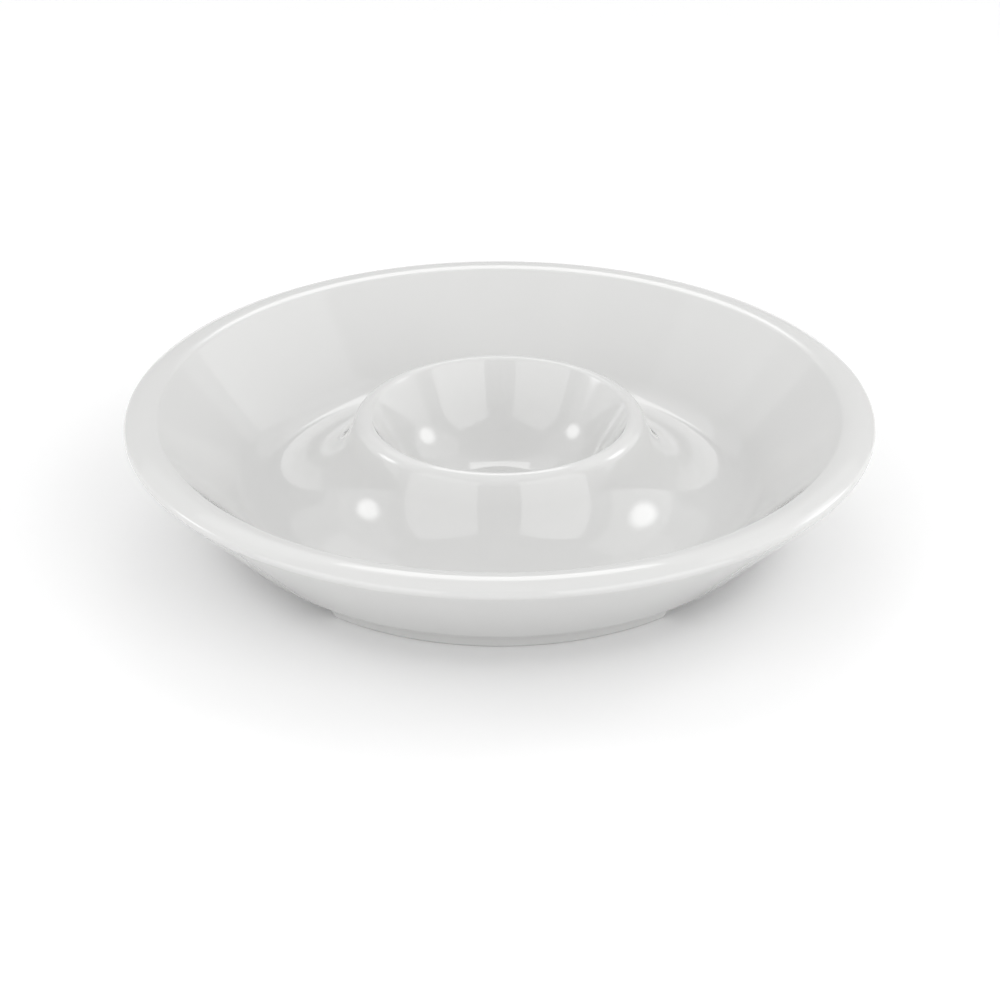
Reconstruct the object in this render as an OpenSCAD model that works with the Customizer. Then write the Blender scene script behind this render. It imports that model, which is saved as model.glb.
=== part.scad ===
// Glossy white egg cup with its own flared saucer, one moulding in the real object.
// It is drawn as the members of that moulding: the saucer, the pedestal that rises
// from its well, the bowl on the pedestal, and three foot arcs with drain gaps between.
// Origin: centre of the foot's resting face. +Z is up, and one foot arc faces -Y.

/* [Saucer] */
// Widest diameter, at the outer edge of the rim
rim_d = 130; // [124:1:136]
// Height of the rim's top above the table
rim_h = 23; // [22:0.5:25]
// Share of the rim's width from its widest edge in to its crest
rim_crest_share = 0.5; // [0.46:0.01:0.54]
// Slope of the rim's top outside its crest, from level, in degrees
rim_fall_angle = 27; // [22:1:30]
// Slope of the rim's top inside its crest, from level, in degrees
rim_rise_angle = 14; // [10:1:16]
// Slope of the flared wall, from level, in degrees
wall_angle = 44.5; // [42:0.5:48]
// Thickness of the flared wall
wall_t = 5.3; // [4.8:0.1:5.7]
// Thickness of the floor of the well
floor_t = 3.4; // [2.8:0.1:3.8]
// Radius of the bend between the well's floor and the wall
well_bend_r = 8; // [5:0.5:13]
// Radius of the bend under the saucer, where the wall leaves the base
base_bend_r = 2.5; // [1.5:0.5:4]
// Edge radius inside the rim
rim_inner_r = 1.2; // [0.6:0.1:1.2]
// Radius of the bend over the crest of the rim
rim_crest_r = 6; // [3:0.5:6]
// Edge radius at the widest edge
rim_edge_r = 0.9; // [0.4:0.1:1]

/* [Egg cup] */
// Diameter of the mouth, where the egg goes in
mouth_d = 44.8; // [43:0.1:46]
// Width of the lip
lip_w = 2.2; // [1.8:0.1:2.6]
// How far the lip lies below the rim
lip_drop = 1.2; // [0.6:0.1:2]
// Height of the bowl's underside above the table
bowl_clearance = 4.4; // [4:0.1:6]
// Slope of the bowl's wall, from upright, in degrees
bowl_lean = 30; // [22:1:34]
// Radius of the bend between the bowl's wall and its floor
bowl_bend_r = 14; // [8:0.5:17]
// Thickness of the bowl
bowl_t = 2.8; // [2.4:0.1:3]
// Slope of the pedestal's side, from upright, in degrees
pedestal_lean = 22; // [15:1:26]
// Radius of the bend between the pedestal's side and the well's floor
pedestal_bend_r = 16; // [10:0.5:18]
// Edge radius inside the lip
lip_inner_r = 0.9; // [0.4:0.1:1]
// Edge radius outside the lip
lip_outer_r = 2.4; // [0.5:0.1:2.5]

/* [Foot] */
// Height of the foot, and of the drain gaps
foot_h = 4.2; // [3:0.1:5]
// Distance from the edge of the level base in to the top of the foot
foot_inset = 0.3; // [0.1:0.1:2]
// Width of the resting face
foot_w = 2.8; // [2:0.1:4]
// How far the foot's outer face flares out by its top
foot_flare = 3.1; // [2:0.1:3.4]
// Height of the steep band round the bottom of the foot
foot_band_h = 1.8; // [1:0.1:2.5]
// How far the steep band flares out by its top
foot_band_flare = 0.2; // [0:0.1:1]
// Radius of the hollow bend between the steep band and the flare above it
foot_bend_r = 3; // [1:0.5:4]
// How far the foot's inner face slopes in by its top
foot_draft = 0.6; // [0:0.1:1]
// Angle of one drain gap, in degrees
foot_gap_angle = 38; // [20:1:60]
// Edge radius of the resting face
foot_edge_r = 0.5; // [0.2:0.1:0.9]

/* [Hidden] */
$fn = 120;

// Largest turn between two points of a rounded corner, in degrees
corner_step_angle = 7.5;

// Heights above the table
base_h = foot_h;
floor_h = base_h + floor_t;
lip_h = rim_h - lip_drop;
bowl_floor_h = bowl_clearance + bowl_t;

// Colour of the whole moulding
moulding_colour = "whitesmoke";

// Radii of the saucer. The corner at the widest edge lies outside by what its rounding cuts off.
rim_edge_half_angle = (wall_angle + rim_fall_angle) / 2;
rim_edge_tilt_angle = (wall_angle - rim_fall_angle) / 2;
rim_edge_cut = rim_edge_r * (cos(rim_edge_tilt_angle) / sin(rim_edge_half_angle) - 1);
rim_r = rim_d / 2 + rim_edge_cut;

// Corner over the crest, where the rim's two slopes meet
rim_crest_half_angle = (rim_fall_angle + rim_rise_angle) / 2;
rim_crest_tilt_angle = (rim_fall_angle - rim_rise_angle) / 2;
rim_crest_reach = rim_crest_r / cos(rim_crest_half_angle);
rim_crest_inset = rim_crest_share * wall_level_t();
rim_top_r = rim_d / 2 - rim_crest_inset + rim_crest_reach * sin(rim_crest_tilt_angle);
rim_top_h = rim_h - rim_crest_r + rim_crest_reach * cos(rim_crest_tilt_angle);
edge_h = rim_top_h - (rim_r - rim_top_r) * tan(rim_fall_angle);

// Corner inside the rim, where its inner slope meets the wall
rim_inner_rise = edge_h - rim_top_h + rim_top_r * tan(rim_rise_angle);
rim_inner_span = (rim_r - wall_level_t()) * tan(wall_angle) - rim_inner_rise;
rim_inner_corner_r = rim_inner_span / (tan(wall_angle) - tan(rim_rise_angle));
rim_inner_corner_h = rim_top_h - (rim_top_r - rim_inner_corner_r) * tan(rim_rise_angle);

// Radii of the well and the level base
well_corner_r = wall_inside(floor_h);
base_level_r = wall_outside(base_h) - base_bend_r * tan(wall_angle / 2);

// Radii of the lip and the pedestal
mouth_r = mouth_d / 2;
lip_out_r = mouth_r + lip_w;
pedestal_corner_r = pedestal_side(floor_h);

// The pedestal meets the saucer where their two bends divide the floor of the well
pedestal_reach = pedestal_bend_r * tan((90 - pedestal_lean) / 2);
well_reach = well_bend_r * tan(wall_angle / 2);
pedestal_floor_share = pedestal_reach / (pedestal_reach + well_reach);
saucer_joint_r = pedestal_corner_r + pedestal_floor_share * (well_corner_r - pedestal_corner_r);

// Where the pedestal's inner side meets the outside of the bowl, below the lip
crest_drop = (bowl_offset() + pedestal_offset() - lip_w) / (tan(pedestal_lean) + tan(bowl_lean));
crest_h = lip_h - crest_drop;
// The bowl seats on the pedestal a share of the way up from there to the lip
shoulder_share = 0.25;
shoulder_h = crest_h + shoulder_share * (lip_h - crest_h);

// Radius and places of the foot arcs
foot_r = base_level_r - foot_inset - foot_flare;
foot_count = 3;
foot_front_angle = -90;
foot_pitch_angle = 360 / foot_count;
foot_arc_angle = foot_pitch_angle - foot_gap_angle;

// Radius of the flared wall at a height, outside and inside, and its level thickness
function wall_outside(h) = rim_r - (edge_h - h) / tan(wall_angle);
function wall_inside(h) = wall_outside(h) - wall_level_t();
function wall_level_t() = wall_t / sin(wall_angle);

// Level thickness of the sloping sides of the bowl and the pedestal
function bowl_offset() = bowl_t / cos(bowl_lean);
function pedestal_offset() = floor_t / cos(pedestal_lean);

// Radius at a height of the bowl's wall, inside and outside, and of the pedestal's side
function bowl_inside(h) = mouth_r - (lip_h - h) * tan(bowl_lean);
function bowl_outside(h) = bowl_inside(h) + bowl_offset();
function pedestal_side(h) = lip_out_r + (lip_h - h) * tan(pedestal_lean);
function pedestal_inside(h) = pedestal_side(h) - pedestal_offset();

// Largest share of the side between two corners that their bends may take
side_share = 0.99;

// Rounding of an outline. Each corner is [radius, height, edge radius].
function place(corner) = [corner[0], corner[1]];
function toward(a, b) = (b - a) / norm(b - a);
function half_angle(u, v) = acos(u * v) / 2;
function at(corners, i) = corners[(i + len(corners)) % len(corners)];
function half_at(corners, i) =
    let (q = place(at(corners, i)))
    half_angle(toward(q, place(at(corners, i - 1))), toward(q, place(at(corners, i + 1))));
// How far a bend reaches along the sides from its corner
function reach(corners, i) = at(corners, i)[2] / tan(half_at(corners, i));
// Share of its own radius that a bend keeps so that it and its neighbour fit on their side
function fit(corners, i, j) =
    let (
        side = norm(place(at(corners, i)) - place(at(corners, j))),
        taken = reach(corners, i) + reach(corners, j)
    )
    taken > side_share * side ? side_share * side / taken : 1;
// Points of one rounded corner, along its bend
function bend(corners, i) =
    let (
        q = place(at(corners, i)),
        u = toward(q, place(at(corners, i - 1))),
        v = toward(q, place(at(corners, i + 1))),
        half = half_at(corners, i),
        r = at(corners, i)[2] * min(fit(corners, i, i - 1), fit(corners, i, i + 1)),
        centre = q + toward([0, 0], u + v) * r / sin(half),
        start = q + u * r / tan(half) - centre,
        way = u[0] * v[1] - u[1] * v[0] > 0 ? -1 : 1,
        turn = way * (180 - 2 * half),
        steps = ceil(abs(turn) / corner_step_angle)
    )
    [for (k = [0:steps])
        let (a = turn * k / steps)
        centre + [start[0] * cos(a) - start[1] * sin(a), start[0] * sin(a) + start[1] * cos(a)]];
function rounded(corners) =
    [for (i = [0:len(corners) - 1])
        each at(corners, i)[2] == 0 ? [place(at(corners, i))] : bend(corners, i)];

// Ring or disc turned from an outline
module turned(corners, angle = 360) {
    rotate_extrude(angle = angle)
        polygon(rounded(corners));
}

// Floor of the well, flared wall and rim
module saucer() {
    color(moulding_colour)
        turned([
            [saucer_joint_r, base_h, 0],
            [wall_outside(base_h), base_h, base_bend_r],
            [rim_r, edge_h, rim_edge_r],
            [rim_top_r, rim_top_h, rim_crest_r],
            [rim_inner_corner_r, rim_inner_corner_h, rim_inner_r],
            [well_corner_r, floor_h, well_bend_r],
            [saucer_joint_r, floor_h, 0]
        ]);
}

// Bell-shaped ring that rises from the well and carries the bowl, hollow underneath
module pedestal() {
    color(moulding_colour)
        turned([
            [saucer_joint_r, base_h, 0],
            [saucer_joint_r, floor_h, 0],
            [pedestal_corner_r, floor_h, pedestal_bend_r],
            [pedestal_side(shoulder_h), shoulder_h, 0],
            [bowl_outside(shoulder_h), shoulder_h, 0],
            [bowl_outside(crest_h), crest_h, 0],
            [pedestal_inside(base_h), base_h, pedestal_bend_r + floor_t]
        ]);
}

// Bowl for the egg, with the lip and the collar that seats on the pedestal
module bowl() {
    color(moulding_colour)
        turned([
            [0, bowl_clearance, 0],
            [bowl_outside(bowl_clearance), bowl_clearance, bowl_bend_r + bowl_t],
            [bowl_outside(shoulder_h), shoulder_h, 0],
            [pedestal_side(shoulder_h), shoulder_h, 0],
            [lip_out_r, lip_h, lip_outer_r],
            [mouth_r, lip_h, lip_inner_r],
            [bowl_inside(bowl_floor_h), bowl_floor_h, bowl_bend_r],
            [0, bowl_floor_h, 0]
        ]);
}

// One arc of the interrupted foot ring, counted round from the front
module foot_arc(index) {
    color(moulding_colour)
        rotate([0, 0, foot_front_angle + index * foot_pitch_angle - foot_arc_angle / 2])
            turned([
                [foot_r - foot_w, 0, foot_edge_r],
                [foot_r, 0, foot_edge_r],
                [foot_r + foot_band_flare, foot_band_h, foot_bend_r],
                [foot_r + foot_flare, base_h, 0],
                [foot_r - foot_w - foot_draft, base_h, 0]
            ], foot_arc_angle);
}

saucer();
pedestal();
bowl();
foot_arc(0);  // foot_front
foot_arc(1);  // foot_right
foot_arc(2);  // foot_left
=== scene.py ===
"""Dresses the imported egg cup: one glossy white moulding, its foot arcs, a pale floor and studio light."""
from math import acos, ceil, cos, pi, radians, sin, tan

import bpy
from mathutils import Euler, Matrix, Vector


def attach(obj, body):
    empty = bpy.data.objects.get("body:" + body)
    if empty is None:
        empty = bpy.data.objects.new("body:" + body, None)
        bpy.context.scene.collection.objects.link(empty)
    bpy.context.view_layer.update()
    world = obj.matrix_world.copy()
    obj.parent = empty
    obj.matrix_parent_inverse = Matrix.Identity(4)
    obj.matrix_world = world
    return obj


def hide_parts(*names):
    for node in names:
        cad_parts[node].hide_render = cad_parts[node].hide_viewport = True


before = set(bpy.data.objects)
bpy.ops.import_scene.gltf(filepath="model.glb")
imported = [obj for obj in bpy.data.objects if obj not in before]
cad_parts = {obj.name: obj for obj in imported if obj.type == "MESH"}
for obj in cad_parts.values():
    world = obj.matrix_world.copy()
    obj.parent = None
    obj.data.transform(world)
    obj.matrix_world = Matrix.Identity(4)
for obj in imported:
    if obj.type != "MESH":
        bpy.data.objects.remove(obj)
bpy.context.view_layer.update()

bl_info = {
    "name": "Egg cup with saucer",
    "version": (1, 0, 0),
    "blender": (4, 5, 0),
    "location": "View3D > Sidebar > Egg Cup",
    "description": "Builds a glossy white egg cup with its own saucer around its packed solids",
    "category": "Object",
}

MM = 0.001
BODY = "root"
# The Mix node's two inputs and its output go by number, because its kinds share their names
FLOAT_A, FLOAT_B, FLOAT_OUT = 2, 3, 0
VECTOR_A, VECTOR_B, VECTOR_OUT = 4, 5, 1
COLOUR_A, COLOUR_B, COLOUR_OUT = 6, 7, 2


# Helpers

def linear(hex_colour):
    """An sRGB hex colour as the linear RGBA that a shader socket takes."""
    parts = [int(hex_colour[i:i + 2], 16) / 255 for i in (1, 3, 5)]
    return (*(p / 12.92 if p <= 0.04045 else ((p + 0.055) / 1.055) ** 2.4 for p in parts), 1.0)


def add_node(tree, kind, inputs=None, **settings):
    """Adds a node with its settings. Each input takes a value, or another node's socket as a link."""
    node = tree.nodes.new(kind)
    for name, value in settings.items():
        setattr(node, name, value)
    for socket, value in (inputs or {}).items():
        if isinstance(value, bpy.types.NodeSocket):
            tree.links.new(value, node.inputs[socket])
        else:
            node.inputs[socket].default_value = value
    return node


def length(name, description, millimetres):
    """A length property, given in millimetres and kept in metres."""
    return bpy.props.FloatProperty(name=name, description=description, default=millimetres * MM,
                                   min=0.0, precision=5, unit="LENGTH", subtype="DISTANCE")


def angle(name, description, degrees):
    """An angle property, given in degrees and kept in radians."""
    return bpy.props.FloatProperty(name=name, description=description, default=radians(degrees),
                                   subtype="ANGLE")


def colour(name, description, hex_colour):
    """A colour property, given as an sRGB hex colour and kept linear."""
    return bpy.props.FloatVectorProperty(name=name, description=description, size=4, min=0.0, max=1.0,
                                         default=linear(hex_colour), subtype="COLOR")


# Sizes, finish and stage settings

class EggCupSizes(bpy.types.PropertyGroup):
    """Sizes of the egg cup, the same as in the part's source, and two roundings that only the skin has."""
    rim_d: length("Rim diameter", "Widest diameter, at the outer edge of the rim", 130)
    rim_h: length("Rim height", "Height of the rim's top above the table", 23)
    rim_crest_share: bpy.props.FloatProperty(
        name="Rim crest share",
        description="Share of the rim's width from its widest edge in to its crest",
        default=0.5, min=0.0, max=1.0, subtype="FACTOR")
    rim_fall: angle("Rim fall", "Slope of the rim's top outside its crest, from level", 27)
    rim_rise: angle("Rim rise", "Slope of the rim's top inside its crest, from level", 14)
    wall_angle: angle("Wall slope", "Slope of the flared wall, from level", 44.5)
    wall_t: length("Wall thickness", "Thickness of the flared wall", 5.3)
    floor_t: length("Floor thickness", "Thickness of the floor of the well", 3.4)
    well_bend_r: length("Well bend", "Radius of the bend between the well's floor and the wall", 8)
    base_bend_r: length("Base bend", "Radius of the bend under the saucer", 2.5)
    rim_inner_r: length("Rim inner edge", "Edge radius inside the rim", 1.2)
    rim_crest_r: length("Rim crest bend", "Radius of the bend over the crest of the rim", 6)
    rim_edge_r: length("Rim widest edge", "Edge radius at the widest edge", 0.9)
    mouth_d: length("Mouth diameter", "Diameter of the mouth, where the egg goes in", 44.8)
    lip_w: length("Lip width", "Width of the lip", 2.2)
    lip_drop: length("Lip drop", "How far the lip lies below the rim", 1.2)
    bowl_clearance: length("Bowl clearance", "Height of the bowl's underside above the table", 4.4)
    bowl_lean: angle("Bowl slope", "Slope of the bowl's wall, from upright", 30)
    bowl_bend_r: length("Bowl bend", "Radius of the bend between the bowl's wall and its floor", 14)
    bowl_t: length("Bowl thickness", "Thickness of the bowl", 2.8)
    pedestal_lean: angle("Pedestal slope", "Slope of the pedestal's side, from upright", 22)
    pedestal_bend_r: length("Pedestal bend", "Radius of the bend at the pedestal's foot", 16)
    lip_inner_r: length("Lip inner edge", "Edge radius inside the lip", 0.9)
    lip_outer_r: length("Lip outer edge", "Edge radius outside the lip", 2.4)
    crest_bend_r: length("Hollow's crest bend", "Radius at the top of the hollow underneath", 1.2)
    foot_h: length("Foot height", "Height of the foot, and of the drain gaps", 4.2)
    foot_inset: length("Foot inset", "From the edge of the level base in to the top of the foot", 0.3)
    foot_w: length("Foot width", "Width of the resting face", 2.8)
    foot_flare: length("Foot flare", "How far the foot's outer face flares out by its top", 3.1)
    foot_band_h: length("Foot band height", "Height of the steep band round the foot's bottom", 1.8)
    foot_band_flare: length("Foot band flare", "How far the steep band flares out by its top", 0.2)
    foot_bend_r: length("Foot bend", "Radius of the hollow bend above the steep band", 3)
    foot_draft: length("Foot draft", "How far the foot's inner face slopes in by its top", 0.6)
    foot_gap: angle("Drain gap", "Angle of one drain gap", 38)
    foot_edge_r: length("Foot edge", "Edge radius of the resting face", 0.5)
    foot_end_r: length("Foot end", "Rounding of the ends of a foot arc", 1.5)


class EggCupFinish(bpy.types.PropertyGroup):
    """Colours and polish of the moulding."""
    body: colour("Body colour", "Colour of the white moulding", "#D0D0CF")
    clouds: colour("Cloud colour", "Slightly deeper white of the clouds in the resin", "#CDCDCC")
    worn: colour("Worn colour", "Colour of the scuffed resting face", "#BFBEBB")
    roughness: bpy.props.FloatProperty(name="Roughness", description="Roughness of the polished face",
                                       default=0.045, min=0.0, max=1.0, subtype="FACTOR")


class EggCupStage(bpy.types.PropertyGroup):
    """Camera, floor and light."""
    camera_distance: length("Camera distance", "From the camera to the middle of the saucer", 650)
    camera_elevation: angle("Camera elevation", "Angle of the camera above the table", 26.86)
    aim_height: length("Aim height", "Height of the point that the camera looks at", 13)
    floor_colour: colour("Floor colour", "Colour of the paper floor", "#EFEFEF")
    floor_glow: bpy.props.FloatProperty(name="Floor white", default=0.06, min=0.0,
                                        description="What lifts the floor to white for the camera")
    ambient: bpy.props.FloatProperty(name="Ambient", default=0.8, min=0.0,
                                     description="Strength of the even light of the room")


# Outline of the moulding

def at(corners, i):
    """Corner i, counted round."""
    return corners[i % len(corners)]


def half_angle(corners, i):
    """Half the angle between the two sides at a corner, and the directions of both sides."""
    x, y = at(corners, i)[:2]
    u = (Vector(at(corners, i - 1)[:2]) - Vector((x, y))).normalized()
    v = (Vector(at(corners, i + 1)[:2]) - Vector((x, y))).normalized()
    return acos(max(-1.0, min(1.0, u.dot(v)))) / 2, u, v


def fit(corners, i, j):
    """Share of its radius that a bend keeps, so that it and its neighbour fit on their side."""
    side_share = 0.99
    side = side_share * (Vector(at(corners, i)[:2]) - Vector(at(corners, j)[:2])).length
    taken = sum(at(corners, k)[2] / tan(half_angle(corners, k)[0]) for k in (i, j) if at(corners, k)[2])
    return min(1.0, side / taken) if taken else 1.0


def rounded(corners, closed):
    """Points of an outline of [radius, height, edge radius] corners, on its bends and straights."""
    bend_gap, straight_gap, turn_step = 0.4 * MM, 1.2 * MM, radians(5)
    points = []
    for i, (x, y, edge_r) in enumerate(corners):
        q = Vector((x, y))
        if not edge_r:
            points.append(q)
            continue
        half, u, v = half_angle(corners, i)
        r = edge_r * min(fit(corners, i, i - 1), fit(corners, i, i + 1))
        centre = q + (u + v).normalized() * r / sin(half)
        start = q + u * r / tan(half) - centre
        way = -1 if u.x * v.y - u.y * v.x > 0 else 1
        turn = way * (pi - 2 * half)
        steps = ceil(max(abs(turn) / turn_step, abs(turn) * r / bend_gap))
        for k in range(steps + 1):
            c, s = cos(turn * k / steps), sin(turn * k / steps)
            points.append(centre + Vector((start.x * c - start.y * s, start.x * s + start.y * c)))
    if closed:
        points.append(points[0])
    filled = points[:1]
    for before, after in zip(points, points[1:]):
        pieces = ceil((after - before).length / straight_gap)
        filled += [before.lerp(after, (k + 1) / pieces) for k in range(pieces)]
    return filled


class Outline:
    """Radii and heights that follow from the sizes, by the same rules as in the part's source."""

    def __init__(self, s):
        self.s = s
        # The rim's outer corner, from which the widest edge is rounded
        edge_half, edge_tilt = (s.wall_angle + s.rim_fall) / 2, (s.wall_angle - s.rim_fall) / 2
        self.rim_r = s.rim_d / 2 + s.rim_edge_r * (cos(edge_tilt) / sin(edge_half) - 1)
        self.wall_level_t = s.wall_t / sin(s.wall_angle)
        # The rim's top corner, from which the crest is rounded
        crest_half, crest_tilt = (s.rim_fall + s.rim_rise) / 2, (s.rim_fall - s.rim_rise) / 2
        crest_reach = s.rim_crest_r / cos(crest_half)
        crest_inset = s.rim_crest_share * self.wall_level_t
        self.top_r = s.rim_d / 2 - crest_inset + crest_reach * sin(crest_tilt)
        self.top_h = s.rim_h - s.rim_crest_r + crest_reach * cos(crest_tilt)
        self.edge_h = self.top_h - (self.rim_r - self.top_r) * tan(s.rim_fall)
        # The rim's inner corner, where its top meets the inside of the wall
        inner_rise = self.edge_h - self.top_h + self.top_r * tan(s.rim_rise)
        inner_span = (self.rim_r - self.wall_level_t) * tan(s.wall_angle) - inner_rise
        self.inner_r = inner_span / (tan(s.wall_angle) - tan(s.rim_rise))
        self.inner_h = self.top_h - (self.top_r - self.inner_r) * tan(s.rim_rise)
        # The well, the lip and the bowl
        self.floor_h = s.foot_h + s.floor_t
        self.lip_h = s.rim_h - s.lip_drop
        self.bowl_floor_h = s.bowl_clearance + s.bowl_t
        self.mouth_r = s.mouth_d / 2
        self.lip_out_r = self.mouth_r + s.lip_w
        self.bowl_offset = s.bowl_t / cos(s.bowl_lean)
        self.pedestal_offset = s.floor_t / cos(s.pedestal_lean)
        # The top of the hollow underneath, where the bowl and the pedestal part
        spread = tan(s.pedestal_lean) + tan(s.bowl_lean)
        self.crest_h = self.lip_h - (self.bowl_offset + self.pedestal_offset - s.lip_w) / spread
        # The outer edge of the foot's resting face
        self.foot_r = (self.wall_outside(s.foot_h) - s.base_bend_r * tan(s.wall_angle / 2)
                       - s.foot_inset - s.foot_flare)

    def wall_outside(self, h):
        return self.rim_r - (self.edge_h - h) / tan(self.s.wall_angle)

    def wall_inside(self, h):
        return self.wall_outside(h) - self.wall_level_t

    def bowl_inside(self, h):
        return self.mouth_r - (self.lip_h - h) * tan(self.s.bowl_lean)

    def bowl_outside(self, h):
        return self.bowl_inside(h) + self.bowl_offset

    def pedestal_side(self, h):
        return self.lip_out_r + (self.lip_h - h) * tan(self.s.pedestal_lean)

    def pedestal_inside(self, h):
        return self.pedestal_side(h) - self.pedestal_offset

    def moulding(self):
        """From the middle underneath, out over the base and the rim, and back into the bowl."""
        s = self.s
        return rounded([
            (0, s.bowl_clearance, 0),
            (self.bowl_outside(s.bowl_clearance), s.bowl_clearance, s.bowl_bend_r + s.bowl_t),
            (self.bowl_outside(self.crest_h), self.crest_h, s.crest_bend_r),
            (self.pedestal_inside(s.foot_h), s.foot_h, s.pedestal_bend_r + s.floor_t),
            (self.wall_outside(s.foot_h), s.foot_h, s.base_bend_r),
            (self.rim_r, self.edge_h, s.rim_edge_r),
            (self.top_r, self.top_h, s.rim_crest_r),
            (self.inner_r, self.inner_h, s.rim_inner_r),
            (self.wall_inside(self.floor_h), self.floor_h, s.well_bend_r),
            (self.pedestal_side(self.floor_h), self.floor_h, s.pedestal_bend_r),
            (self.lip_out_r, self.lip_h, s.lip_outer_r),
            (self.mouth_r, self.lip_h, s.lip_inner_r),
            (self.bowl_inside(self.bowl_floor_h), self.bowl_floor_h, s.bowl_bend_r),
            (0, self.bowl_floor_h, 0)], closed=False)

    def foot(self):
        """Section of a foot arc, round its own middle, with its top just inside the base."""
        s = self.s
        sunk = 0.2 * MM
        return rounded([
            (self.foot_r - s.foot_w, 0, s.foot_edge_r),
            (self.foot_r, 0, s.foot_edge_r),
            (self.foot_r + s.foot_band_flare, s.foot_band_h, s.foot_bend_r),
            (self.foot_r + s.foot_flare, s.foot_h + sunk, 0),
            (self.foot_r - s.foot_w - s.foot_draft, s.foot_h + sunk, 0)], closed=True)


# Geometry tree

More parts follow.
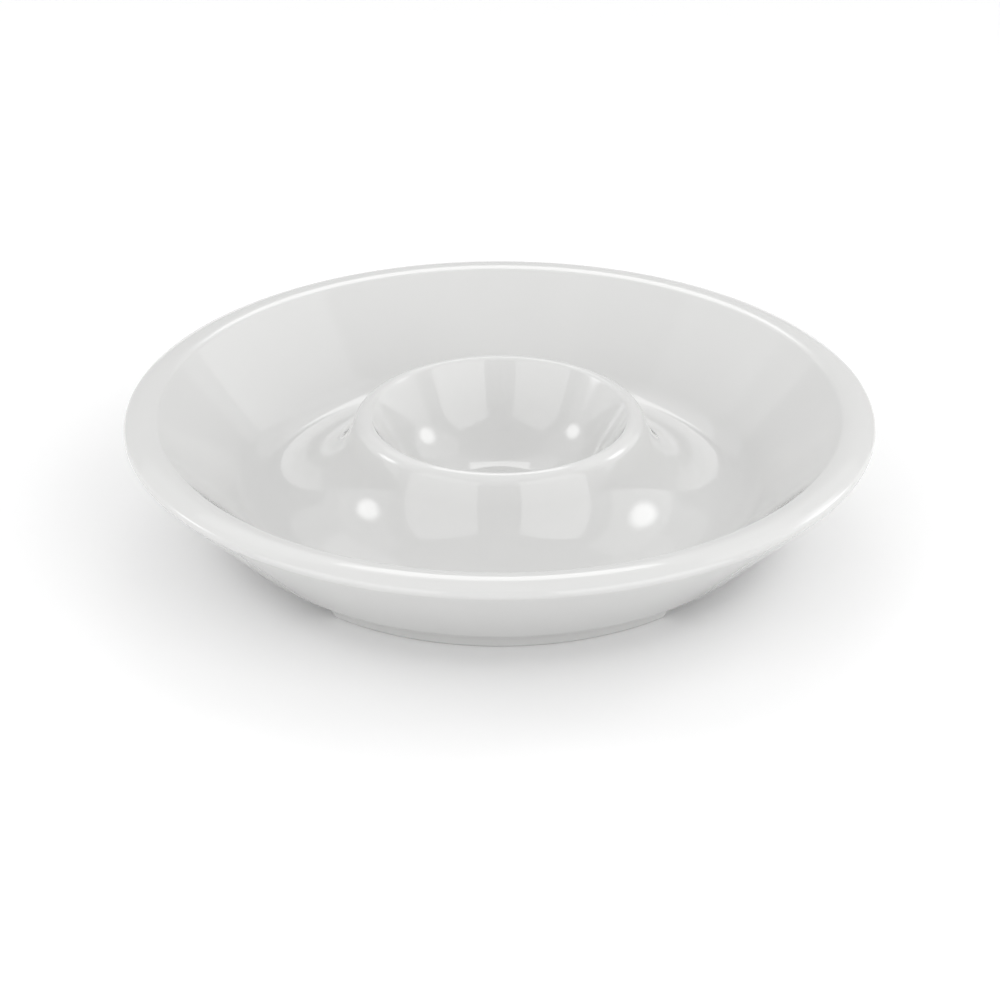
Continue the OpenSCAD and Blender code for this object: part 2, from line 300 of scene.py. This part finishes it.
def turning_tree():
    """Turns an outline, held as a mesh of points in the XZ plane, round the Z axis, in equal copies.
    Where the turn isn't a whole one, its ends can draw in to a point of the section to be round."""
    name = "Turned moulding"
    if name in bpy.data.node_groups:
        return bpy.data.node_groups[name]
    tree = bpy.data.node_groups.new(name, "GeometryNodeTree")
    sockets = (("Outline", "NodeSocketGeometry", None), ("Steps round", "NodeSocketInt", 64),
               ("Start", "NodeSocketFloat", 0.0), ("Turn", "NodeSocketFloat", 2 * pi),
               ("Rounded ends", "NodeSocketBool", False), ("End share", "NodeSocketFloat", 0.1),
               ("End point", "NodeSocketVector", (0.0, 0.0, 0.0)), ("Copies", "NodeSocketInt", 1),
               ("Pitch", "NodeSocketFloat", 0.0), ("Finish", "NodeSocketMaterial", None))
    for label, kind, default in sockets:
        socket = tree.interface.new_socket(label, in_out="INPUT", socket_type=kind)
        if default is not None:
            socket.default_value = default
    tree.interface.new_socket("Moulding", in_out="OUTPUT", socket_type="NodeSocketGeometry")
    given = add_node(tree, "NodeGroupInput").outputs

    # A grid has one column for each step round and one row for each point of the outline
    count = add_node(tree, "GeometryNodeAttributeDomainSize", {"Geometry": given["Outline"]})
    columns = add_node(tree, "ShaderNodeMath", {0: given["Steps round"], 1: 1}, operation="ADD")
    grid = add_node(tree, "GeometryNodeMeshGrid", {
        "Size X": 1, "Size Y": 1, "Vertices X": columns.outputs[0],
        "Vertices Y": count.outputs["Point Count"]})
    place = add_node(tree, "GeometryNodeInputPosition").outputs[0]
    moved = add_node(tree, "ShaderNodeVectorMath", {0: place, 1: (0.5, 0.5, 0.0)}, operation="ADD")
    share = add_node(tree, "ShaderNodeSeparateXYZ", {0: moved.outputs[0]}).outputs
    last = add_node(tree, "ShaderNodeMath", {0: count.outputs["Point Count"], 1: 1}, operation="SUBTRACT")
    along = add_node(tree, "ShaderNodeMath", {0: share["Y"], 1: last.outputs[0]}, operation="MULTIPLY")
    row = add_node(tree, "ShaderNodeMath", {0: along.outputs[0]}, operation="ROUND")
    taken = add_node(tree, "GeometryNodeSampleIndex", {
        "Geometry": given["Outline"], "Value": place, "Index": row.outputs[0]}, data_type="FLOAT_VECTOR")
    # Towards an end, a quarter of a circle brings the section in to its end point
    back = add_node(tree, "ShaderNodeMath", {0: 1.0, 1: share["X"]}, operation="SUBTRACT")
    to_end = add_node(tree, "ShaderNodeMath", {0: share["X"], 1: back.outputs[0]}, operation="MINIMUM")
    passed = add_node(tree, "ShaderNodeMath", {0: to_end.outputs[0], 1: given["End share"]},
                      operation="DIVIDE", use_clamp=True)
    left = add_node(tree, "ShaderNodeMath", {0: 1.0, 1: passed.outputs[0]}, operation="SUBTRACT")
    square = add_node(tree, "ShaderNodeMath", {0: left.outputs[0], 1: 2.0}, operation="POWER")
    rest = add_node(tree, "ShaderNodeMath", {0: 1.0, 1: square.outputs[0]}, operation="SUBTRACT")
    quarter = add_node(tree, "ShaderNodeMath", {0: rest.outputs[0]}, operation="SQRT")
    size = add_node(tree, "GeometryNodeSwitch", {
        "Switch": given["Rounded ends"], "False": 1.0, "True": quarter.outputs[0]}, input_type="FLOAT")
    drawn = add_node(tree, "ShaderNodeMix", {
        "Factor": size.outputs[0], VECTOR_A: given["End point"], VECTOR_B: taken.outputs[0]},
        data_type="VECTOR")
    # Each point turns about the axis by its share of the whole turn
    swept = add_node(tree, "ShaderNodeMath", {0: share["X"], 1: given["Turn"]}, operation="MULTIPLY")
    turn = add_node(tree, "ShaderNodeMath", {0: given["Start"], 1: swept.outputs[0]}, operation="ADD")
    spun = add_node(tree, "ShaderNodeVectorRotate", {
        "Vector": drawn.outputs[VECTOR_OUT], "Angle": turn.outputs[0]}, rotation_type="Z_AXIS")
    skin = add_node(tree, "GeometryNodeSetPosition", {
        "Geometry": grid.outputs["Mesh"], "Position": spun.outputs[0]})
    # The seam and the poles close here
    closed = add_node(tree, "GeometryNodeMergeByDistance", {
        "Geometry": skin.outputs[0], "Distance": 0.001 * MM})
    # The copies stand round the axis, and are made real
    spots = add_node(tree, "GeometryNodeMeshLine", {"Count": given["Copies"], "Offset": (0.0, 0.0, 0.0)})
    number = add_node(tree, "GeometryNodeInputIndex").outputs[0]
    pitch = add_node(tree, "ShaderNodeMath", {0: number, 1: given["Pitch"]}, operation="MULTIPLY")
    swing = add_node(tree, "ShaderNodeCombineXYZ", {"Z": pitch.outputs[0]})
    copies = add_node(tree, "GeometryNodeInstanceOnPoints", {
        "Points": spots.outputs[0], "Instance": closed.outputs[0], "Rotation": swing.outputs[0]})
    real = add_node(tree, "GeometryNodeRealizeInstances", {"Geometry": copies.outputs[0]})
    smooth = add_node(tree, "GeometryNodeSetShadeSmooth", {"Geometry": real.outputs[0]})
    coated = add_node(tree, "GeometryNodeSetMaterial", {
        "Geometry": smooth.outputs[0], "Material": given["Finish"]})
    add_node(tree, "NodeGroupOutput", {0: coated.outputs[0]})
    return tree


def made_by_tree(name, points, tree, values):
    """An object whose mesh is what a tree makes of an outline, with no modifier left."""
    mesh = bpy.data.meshes.new(name)
    mesh.from_pydata([(p.x, 0, p.y) for p in points], [(i, i + 1) for i in range(len(points) - 1)], [])
    mesh.materials.append(values["Finish"])
    obj = bpy.data.objects.new(name, mesh)
    bpy.context.scene.collection.objects.link(obj)
    modifier = obj.modifiers.new("Shape", "NODES")
    modifier.node_group = tree
    for item in tree.interface.items_tree:
        if item.item_type == "SOCKET" and item.in_out == "INPUT" and item.name in values:
            modifier[item.identifier] = values[item.name]
    shape = bpy.data.meshes.new_from_object(obj.evaluated_get(bpy.context.evaluated_depsgraph_get()))
    obj.modifiers.clear()
    obj.data = shape
    shape.name = name
    bpy.data.meshes.remove(mesh)
    return obj


def ride_as(obj, *nodes):
    """The piece rides on the one body and stands for these nodes."""
    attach(obj, BODY)
    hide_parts(*nodes)


# Material

def moulding_material():
    """White melamine, pressed in a polished steel mould, which gives it a nearly mirror-like gloss."""
    name = "White melamine, press moulded"
    if name in bpy.data.materials:
        return bpy.data.materials[name]
    finish = bpy.context.scene.egg_cup_finish
    material = bpy.data.materials.new(name)
    material.use_nodes = True
    tree = material.node_tree
    tree.nodes.clear()
    place = add_node(tree, "ShaderNodeTexCoord").outputs["Object"]
    # The filler in the resin gives faint clouds
    cloud_size = 18 * MM
    clouds = add_node(tree, "ShaderNodeTexNoise", {
        "Vector": place, "Scale": 1 / cloud_size, "Detail": 2.0})
    body = add_node(tree, "ShaderNodeMix", {
        "Factor": clouds.outputs["Fac"], COLOUR_A: finish.body, COLOUR_B: finish.clouds},
        data_type="RGBA")
    # Tables scuff the resting face, up to a small height. The grit is drawn coarse enough to show.
    scuff_top, scuff_full, grit_size, scuff_roughness = 0.3 * MM, 0.05 * MM, 0.8 * MM, 0.5
    height = add_node(tree, "ShaderNodeSeparateXYZ", {0: place}).outputs["Z"]
    worn = add_node(tree, "ShaderNodeMapRange", {
        "Value": height, "From Min": scuff_top, "From Max": scuff_full})
    grit = add_node(tree, "ShaderNodeTexNoise", {
        "Vector": place, "Scale": 1 / grit_size, "Detail": 3.0})
    scuffed = add_node(tree, "ShaderNodeMath", {0: worn.outputs[0], 1: grit.outputs["Fac"]},
                       operation="MULTIPLY")
    base = add_node(tree, "ShaderNodeMix", {
        "Factor": scuffed.outputs[0], COLOUR_A: body.outputs[COLOUR_OUT], COLOUR_B: finish.worn},
        data_type="RGBA")
    # Washing leaves the polish a little uneven, in patches
    patch_size, smoothest, roughest = 9 * MM, 0.7 * finish.roughness, 1.3 * finish.roughness
    patches = add_node(tree, "ShaderNodeTexNoise", {
        "Vector": place, "Scale": 1 / patch_size, "Detail": 2.0})
    polish = add_node(tree, "ShaderNodeMapRange", {
        "Value": patches.outputs["Fac"], "To Min": smoothest, "To Max": roughest})
    rough = add_node(tree, "ShaderNodeMix", {
        "Factor": scuffed.outputs[0], FLOAT_A: polish.outputs[0], FLOAT_B: scuff_roughness},
        data_type="FLOAT")
    # The pressed skin shrinks a little out of true, in long low waves
    wave_length, wave_height = 14 * MM, 0.02 * MM
    waves = add_node(tree, "ShaderNodeTexNoise", {
        "Vector": place, "Scale": 1 / wave_length, "Detail": 1.0})
    skin = add_node(tree, "ShaderNodeBump", {
        "Height": waves.outputs["Fac"], "Distance": wave_height, "Strength": 1.0})
    # Melamine's own index is near 1.65. The photograph's reflections are a little stronger.
    shader = add_node(tree, "ShaderNodeBsdfPrincipled", {
        "Base Color": base.outputs[COLOUR_OUT], "Roughness": rough.outputs[FLOAT_OUT],
        "Normal": skin.outputs[0], "IOR": 1.75})
    add_node(tree, "ShaderNodeOutputMaterial", {"Surface": shader.outputs[0]})
    return material


# Stage

def stage_mesh(name, points, material, uvs=()):
    """A flat stage piece of one face, with a UV place for each corner where its material reads it."""
    mesh = bpy.data.meshes.new(name)
    mesh.from_pydata(points, [], [list(range(len(points)))])
    if uvs:
        layer = mesh.uv_layers.new(name="UVMap")
        for loop, uv in zip(layer.data, uvs):
            loop.uv = uv
    mesh.materials.append(material)
    obj = bpy.data.objects.new(name, mesh)
    bpy.context.scene.collection.objects.link(obj)
    return obj


def seen_ray(tree):
    """1 for what the camera sees, straight or by gloss or glass, and 0 for the light on things."""
    path = add_node(tree, "ShaderNodeLightPath").outputs
    seen = path["Is Camera Ray"]
    for other in ("Is Glossy Ray", "Is Transmission Ray"):
        seen = add_node(tree, "ShaderNodeMath", {0: seen, 1: path[other]}, operation="MAXIMUM").outputs[0]
    return seen


def floor_material(stage):
    """White background paper, lifted to white where the camera sees it and no shadow falls."""
    material = bpy.data.materials.new("White background paper")
    material.use_nodes = True
    tree = material.node_tree
    tree.nodes.clear()
    paper = add_node(tree, "ShaderNodeBsdfDiffuse", {"Color": stage.floor_colour})
    lift = add_node(tree, "ShaderNodeMath", {
        0: seen_ray(tree), 1: stage.floor_glow}, operation="MULTIPLY")
    glow = add_node(tree, "ShaderNodeEmission", {"Strength": lift.outputs[0]})
    both = add_node(tree, "ShaderNodeAddShader", {0: paper.outputs[0], 1: glow.outputs[0]})
    add_node(tree, "ShaderNodeOutputMaterial", {"Surface": both.outputs[0]})
    return material


def cloth_material(name, strength, edge_strength):
    """Lit diffuser cloth. A lamp behind it fades from its own strength to the cloth's at its edge."""
    material = bpy.data.materials.new(name)
    material.use_nodes = True
    tree = material.node_tree
    tree.nodes.clear()
    level = strength
    if edge_strength is not None:
        # The UV map gives the place on the lamp's disc, with the edge 1 from the middle
        edge, full = 1.0, 0.4
        uv = add_node(tree, "ShaderNodeTexCoord").outputs["UV"]
        far = add_node(tree, "ShaderNodeVectorMath", {0: uv}, operation="LENGTH")
        fading = add_node(tree, "ShaderNodeMapRange", {
            "Value": far.outputs["Value"], "From Min": edge, "From Max": full, "To Min": edge_strength,
            "To Max": strength}, interpolation_type="SMOOTHSTEP")
        level = fading.outputs[0]
    light = add_node(tree, "ShaderNodeEmission", {"Strength": level})
    add_node(tree, "ShaderNodeOutputMaterial", {"Surface": light.outputs[0]})
    return material


# Each panel of cloth: its four corners as seen from the saucer, each an azimuth from the camera round to
# the right and an elevation, in degrees. Then its distance from the axis in metres, and its strength.
PANELS = {
    "front_right": ((15.5, 0.5), (66.5, 0.5), (68, 54), (15.5, 49), 0.6, 1.85),
    "front_left": ((-69.5, 0.5), (-16, 0.5), (-16.5, 48), (-71, 54), 0.6, 1.65),
    "side_right": ((84, 0.5), (133, 0.5), (136, 58), (88, 60), 0.6, 1.4),
    "side_left": ((-123, 0.5), (-78, 0.5), (-96, 59), (-130, 58), 0.6, 1.2),
    "backdrop": ((137, 0.5), (227, 0.5), (222, 26), (140, 26), 1.0, 0.73),
    "back_right": ((136, 43), (180, 33), (180, 58), (136, 60), 0.8, 1.2),
    "back_left": ((180, 33), (228, 43), (230, 60), (180, 58), 0.8, 1.4),
    "strip": ((176, 36), (184, 36), (200, 54), (160, 54), 0.6, 2.6),
}
# Each lamp behind the cloth: azimuth, elevation and radius, in degrees. Then its distance in metres, its
# strength, and the cloth's.
LAMPS = {
    "right": (106.5, 33.5, 12, 0.223, 4.0, 1.4),
    "left": (-100, 29, 11, 0.45, 4.0, 1.2),
}


def towards(azimuth, elevation):
    """Unit direction from the saucer, for an azimuth from the camera round to the right."""
    a, e = radians(azimuth), radians(elevation)
    return Vector((sin(a) * cos(e), -cos(a) * cos(e), sin(e)))


def add_panel(name, *settings):
    """A panel of diffuser cloth that hides itself from the camera."""
    *corners, distance, strength = settings
    points = [towards(*corner) * distance / cos(radians(corner[1])) for corner in corners]
    panel = stage_mesh("panel_" + name, points, cloth_material("Diffuser cloth " + name, strength, None))
    panel.visible_camera = False


def add_lamp(name, azimuth, elevation, size, distance, strength, edge_strength):
    """The round glow of a lamp on the cloth, facing the saucer and hidden from the camera."""
    out = towards(azimuth, elevation)
    side = towards(azimuth + 90, 0)
    up = out.cross(side)
    steps = 48
    ring = [(cos(2 * pi * k / steps), sin(2 * pi * k / steps)) for k in range(steps)]
    points = [(out + (side * x + up * y) * tan(radians(size))) * distance for x, y in ring]
    cloth = cloth_material("Lit cloth " + name, strength, edge_strength)
    lamp = stage_mesh("lamp_" + name, points, cloth, ring)
    lamp.visible_camera = False


def add_world(stage):
    """Even room light. The camera sees white all round, and so does the gloss."""
    world = bpy.data.worlds.new("White room")
    bpy.context.scene.world = world
    world.use_nodes = True
    tree = world.node_tree
    tree.nodes.clear()
    room = add_node(tree, "ShaderNodeBackground", {"Color": linear("#FFFFFF"), "Strength": stage.ambient})
    white = add_node(tree, "ShaderNodeBackground", {"Color": linear("#FFFFFF"), "Strength": 1.0})
    both = add_node(tree, "ShaderNodeMixShader", {
        0: seen_ray(tree), 1: room.outputs[0], 2: white.outputs[0]})
    add_node(tree, "ShaderNodeOutputWorld", {"Surface": both.outputs[0]})


def add_camera(stage):
    """The photograph's viewpoint: 27 degrees above the table, a long lens, in line with a foot arc."""
    data = bpy.data.cameras.new("Camera")
    data.sensor_width = 36.0
    data.lens = 134.03
    data.shift_x, data.shift_y = 0.0003, -0.0417
    camera = bpy.data.objects.new("Camera", data)
    bpy.context.scene.collection.objects.link(camera)
    up = stage.camera_elevation
    aim = Vector((0, 0, stage.aim_height))
    camera.location = aim + Vector((0, -cos(up), sin(up))) * stage.camera_distance
    camera.rotation_euler = Euler((pi / 2 - up, 0, 0))
    bpy.context.scene.camera = camera


# Operators and panel

class EGGCUP_OT_moulding(bpy.types.Operator):
    """Build the seamless skin of the saucer, the pedestal and the bowl"""
    bl_idname = "eggcup.moulding"
    bl_label = "Moulding"

    def execute(self, context):
        outline = Outline(context.scene.egg_cup_sizes)
        obj = made_by_tree("moulding", outline.moulding(), turning_tree(), {
            "Steps round": 256, "Turn": 2 * pi, "Finish": moulding_material()})
        ride_as(obj, "saucer", "pedestal", "bowl")
        return {"FINISHED"}


class EGGCUP_OT_foot_arcs(bpy.types.Operator):
    """Build the three arcs of the interrupted foot ring"""
    bl_idname = "eggcup.foot_arcs"
    bl_label = "Foot arcs"

    def execute(self, context):
        sizes = context.scene.egg_cup_sizes
        outline = Outline(sizes)
        # One arc for each foot node, and the first is in front
        count = 3
        sweep = 2 * pi / count - sizes.foot_gap
        # The ends draw in to a point on the base, over the outer edge of the resting face
        end_point = (outline.foot_r, 0.0, sizes.foot_h)
        obj = made_by_tree("foot_arcs", outline.foot(), turning_tree(), {
            "Steps round": 192, "Start": -pi / 2 - sweep / 2, "Turn": sweep, "Rounded ends": True,
            "End share": sizes.foot_end_r / (outline.foot_r * sweep), "End point": end_point,
            "Copies": count, "Pitch": 2 * pi / count, "Finish": moulding_material()})
        ride_as(obj, "foot_front", "foot_right", "foot_left")
        return {"FINISHED"}


class EGGCUP_OT_stage(bpy.types.Operator):
    """Add the paper floor, the lit diffuser cloths, the room light and the camera"""
    bl_idname = "eggcup.stage"
    bl_label = "Stage"

    def execute(self, context):
        stage = context.scene.egg_cup_stage
        reach = 3.0
        stage_mesh("floor", [(x * reach, y * reach, 0) for x, y in ((-1, -1), (1, -1), (1, 1), (-1, 1))],
                   floor_material(stage))
        for name, settings in PANELS.items():
            add_panel(name, *settings)
        for name, settings in LAMPS.items():
            add_lamp(name, *settings)
        add_world(stage)
        add_camera(stage)
        context.scene.view_settings.view_transform = "Standard"
        return {"FINISHED"}


class EGGCUP_PT_panel(bpy.types.Panel):
    """Lists the sizes, the finish and the steps"""
    bl_idname = "EGGCUP_PT_panel"
    bl_label = "Egg Cup"
    bl_space_type = "VIEW_3D"
    bl_region_type = "UI"
    bl_category = "Egg Cup"

    def draw(self, context):
        scene = context.scene
        for group in (scene.egg_cup_sizes, scene.egg_cup_finish, scene.egg_cup_stage):
            box = self.layout.box()
            for name in group.__annotations__:
                box.prop(group, name)
        for operator in (EGGCUP_OT_moulding, EGGCUP_OT_foot_arcs, EGGCUP_OT_stage):
            self.layout.operator(operator.bl_idname)


CLASSES = (EggCupSizes, EggCupFinish, EggCupStage, EGGCUP_OT_moulding, EGGCUP_OT_foot_arcs,
           EGGCUP_OT_stage, EGGCUP_PT_panel)


def register():
    for cls in CLASSES:
        bpy.utils.register_class(cls)
    bpy.types.Scene.egg_cup_sizes = bpy.props.PointerProperty(type=EggCupSizes)
    bpy.types.Scene.egg_cup_finish = bpy.props.PointerProperty(type=EggCupFinish)
    bpy.types.Scene.egg_cup_stage = bpy.props.PointerProperty(type=EggCupStage)


def unregister():
    del bpy.types.Scene.egg_cup_stage
    del bpy.types.Scene.egg_cup_finish
    del bpy.types.Scene.egg_cup_sizes
    for cls in reversed(CLASSES):
        bpy.utils.unregister_class(cls)


def main():
    register()
    bpy.ops.eggcup.moulding()
    bpy.ops.eggcup.foot_arcs()
    bpy.ops.eggcup.stage()


if __name__ == "__main__":
    main()
